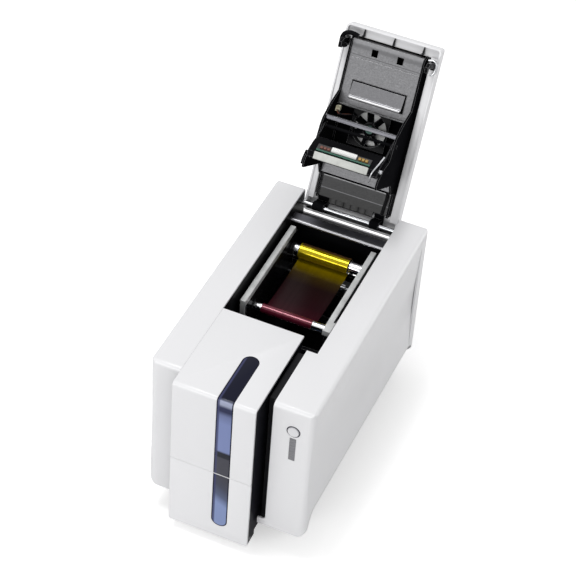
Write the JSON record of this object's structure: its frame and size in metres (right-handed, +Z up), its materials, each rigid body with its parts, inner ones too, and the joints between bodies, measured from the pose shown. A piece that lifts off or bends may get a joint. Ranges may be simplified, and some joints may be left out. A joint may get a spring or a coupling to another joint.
{
  "type": "id card printer",
  "caption": "Desktop card printer with a hinged lid over its ribbon bay, a print head on the lid, a card feeder above an output hopper, and side panels on a dark base.",
  "frame": {"origin": "on the table, in the middle of the floor area that the printer covers with its lid open", "axes": "+X to the right seen from the front, +Y to the back, +Z up"},
  "size_m": [0.205, 0.487, 0.4401],
  "materials": {
    "white_shell": "smooth satin moulded white",
    "rear_grey": "fine-grained moulded light grey",
    "base_black": "fine-grained moulded black",
    "foot_rubber": "matt black rubber",
    "black_sheet": "black painted sheet steel",
    "plain_sheet": "zinc-plated sheet steel",
    "lid_sheet": "dull grey plated sheet",
    "chrome_shaft": "polished steel",
    "frame_grey": "dark grey moulded",
    "window_blue": "smoked blue glossy window",
    "roller_rubber": "ground black rubber on steel shafts",
    "cleaning_blue": "tacky blue rubber",
    "belt_rubber": "toothed black belt",
    "motor_metal": "cast end caps and stacked steel",
    "gear_brass": "turned brass",
    "cassette_grey": "light grey moulded",
    "black_plastic": "black moulded",
    "ribbon_dark": "dark magenta dye film",
    "ribbon_yellow": "wound yellow dye film",
    "ribbon_pink": "wound pink dye film",
    "board_green": "green printed circuit board",
    "socket_black": "black moulded",
    "socket_metal": "tinned steel shell",
    "button_grey": "smooth light grey",
    "ring_chrome": "plated ring",
    "bar_lens": "frosted grey lens with ribs",
    "strip_ceramic": "glazed ceramic",
    "spring_steel": "bright spring wire"
  },
  "bodies": {
    "chassis": {"base_tray": "base_black", "rubber_feet": "foot_rubber", "left_panel": "white_shell", "right_panel": "white_shell", "rear_panel": "rear_grey", "left_side_plate": "black_sheet", "right_side_plate": "black_sheet", "slot_column": "base_black", "rear_cross_bar": "plain_sheet", "hinge_axle": "chrome_shaft", "hinge_screen": "black_sheet", "catch_studs": "chrome_shaft", "feeder_frame": "frame_grey", "cover_pins": "chrome_shaft", "hopper_frame": "frame_grey", "card_guide": "black_sheet", "drive_belt": "belt_rubber", "drive_motor": "motor_metal", "cassette_frame": "cassette_grey", "cassette_cheeks": "black_plastic", "cassette_rests": "black_plastic", "ribbon_film": "ribbon_dark", "ribbon_motor": "motor_metal", "main_board": "board_green", "power_inlet": "socket_black", "usb_socket": "socket_metal", "network_socket": "socket_metal", "button_ring": "ring_chrome", "button_switch": "board_green", "indicator_bar": "bar_lens"},
    "feeder_door": {"feeder_cover": "white_shell", "feeder_window": "window_blue"},
    "hopper_door": {"hopper_cover": "white_shell", "hopper_window": "window_blue"},
    "lid": {"lid_shell": "white_shell", "lid_ribs": "black_plastic", "lid_frame": "black_plastic", "lid_plates": "lid_sheet", "lid_flap": "lid_sheet", "lid_cross_bar": "plain_sheet", "fan_housing": "black_plastic", "head_springs": "spring_steel"},
    "fan": {"fan_rotor": "black_plastic"},
    "latch": {"latch_shaft": "black_plastic"},
    "print_head": {"head_bracket": "black_plastic", "head_board": "board_green", "head_strip": "strip_ceramic"},
    "button": {"power_button": "button_grey"},
    "takeup": {"takeup_spool": "ribbon_pink"},
    "supply": {"supply_spool": "ribbon_yellow"},
    "ribbon_gear": {"ribbon_pinion": "gear_brass"},
    "platen": {"platen_roller": "roller_rubber"},
    "motor_gear": {"motor_pinion": "gear_brass"},
    "pick": {"pick_roller": "roller_rubber"},
    "feed": {"feed_roller": "roller_rubber"},
    "exit": {"exit_roller": "roller_rubber"},
    "cleaning": {"cleaning_roller": "cleaning_blue"},
    "front_pinch": {"front_pinch_roller": "chrome_shaft"},
    "rear_pinch": {"rear_pinch_roller": "chrome_shaft"}
  },
  "joints": [
    {"name": "lid_hinge", "type": "hinge", "parent": "chassis", "child": "lid", "pos_m": [0, 0.12819, 0.228], "axis": [1, 0, 0], "range_deg": [0, 115], "deforming": ["ribbon_film"]},
    {"name": "feeder_lift", "type": "hinge", "parent": "chassis", "child": "feeder_door", "pos_m": [-0.012, -0.11381, 0.23995], "axis": [-1, 0, 0], "range_deg": [0, 60]},
    {"name": "hopper_tilt", "type": "hinge", "parent": "chassis", "child": "hopper_door", "pos_m": [-0.012, -0.23231, 0.017], "axis": [1, 0, 0], "range_deg": [0, 50]},
    {"name": "fan_spin", "type": "hinge", "parent": "lid", "child": "fan", "pos_m": [-0.003, 0.17595, 0.33041], "axis": [0, 0.9063, -0.4226], "continuous": true},
    {"name": "latch_turn", "type": "hinge", "parent": "lid", "child": "latch", "pos_m": [0, 0.21821, 0.42104], "axis": [-1, 0, 0], "range_deg": [0, 12], "stiffness_Nm_per_rad": 0.3, "springref_deg": -17.19},
    {"name": "head_lift", "type": "hinge", "parent": "lid", "child": "print_head", "pos_m": [-0.003, 0.13831, 0.34907], "axis": [1, 0, 0], "range_deg": [0, 2.5], "stiffness_Nm_per_rad": 4, "springref_deg": -5.73, "deforming": ["head_springs"]},
    {"name": "power_button_press", "type": "slide", "parent": "chassis", "child": "button", "axis": [0, 1, 0], "range_m": [0, 0.001], "stiffness_N_per_m": 400, "springref_m": -0.001},
    {"name": "takeup_spin", "type": "hinge", "parent": "chassis", "child": "takeup", "pos_m": [-0.003, -0.04031, 0.1965], "axis": [1, 0, 0], "continuous": true},
    {"name": "supply_spin", "type": "hinge", "parent": "chassis", "child": "supply", "pos_m": [-0.003, 0.07619, 0.1965], "axis": [1, 0, 0], "continuous": true},
    {"name": "ribbon_pinion_spin", "type": "hinge", "parent": "chassis", "child": "ribbon_gear", "pos_m": [0.052, -0.04031, 0.1775], "axis": [1, 0, 0], "continuous": true},
    {"name": "platen_spin", "type": "hinge", "parent": "chassis", "child": "platen", "pos_m": [-0.003, 0.04319, 0.1258], "axis": [1, 0, 0], "continuous": true},
    {"name": "motor_pinion_spin", "type": "hinge", "parent": "chassis", "child": "motor_gear", "pos_m": [0.069, 0.04319, 0.1058], "axis": [1, 0, 0], "continuous": true},
    {"name": "pick_spin", "type": "hinge", "parent": "chassis", "child": "pick", "pos_m": [-0.003, -0.16431, 0.1258], "axis": [1, 0, 0], "continuous": true},
    {"name": "feed_spin", "type": "hinge", "parent": "chassis", "child": "feed", "pos_m": [-0.003, -0.04431, 0.1258], "axis": [1, 0, 0], "continuous": true},
    {"name": "exit_spin", "type": "hinge", "parent": "chassis", "child": "exit", "pos_m": [-0.003, 0.09569, 0.1258], "axis": [1, 0, 0], "continuous": true},
    {"name": "cleaning_spin", "type": "hinge", "parent": "chassis", "child": "cleaning", "pos_m": [-0.003, -0.09431, 0.14], "axis": [1, 0, 0], "continuous": true},
    {"name": "front_pinch_spin", "type": "hinge", "parent": "chassis", "child": "front_pinch", "pos_m": [-0.003, -0.04431, 0.1382], "axis": [1, 0, 0], "continuous": true},
    {"name": "rear_pinch_spin", "type": "hinge", "parent": "chassis", "child": "rear_pinch", "pos_m": [-0.003, 0.09569, 0.1382], "axis": [1, 0, 0], "continuous": true}
  ],
  "couplings": [
    {"joint": "supply_spin", "follows": "takeup_spin", "ratio": 0.4},
    {"joint": "ribbon_pinion_spin", "follows": "takeup_spin", "ratio": -2.1667},
    {"joint": "motor_pinion_spin", "follows": "platen_spin", "ratio": -2.3333},
    {"joint": "pick_spin", "follows": "platen_spin", "ratio": 1},
    {"joint": "feed_spin", "follows": "platen_spin", "ratio": 1},
    {"joint": "exit_spin", "follows": "platen_spin", "ratio": 1}
  ]
}
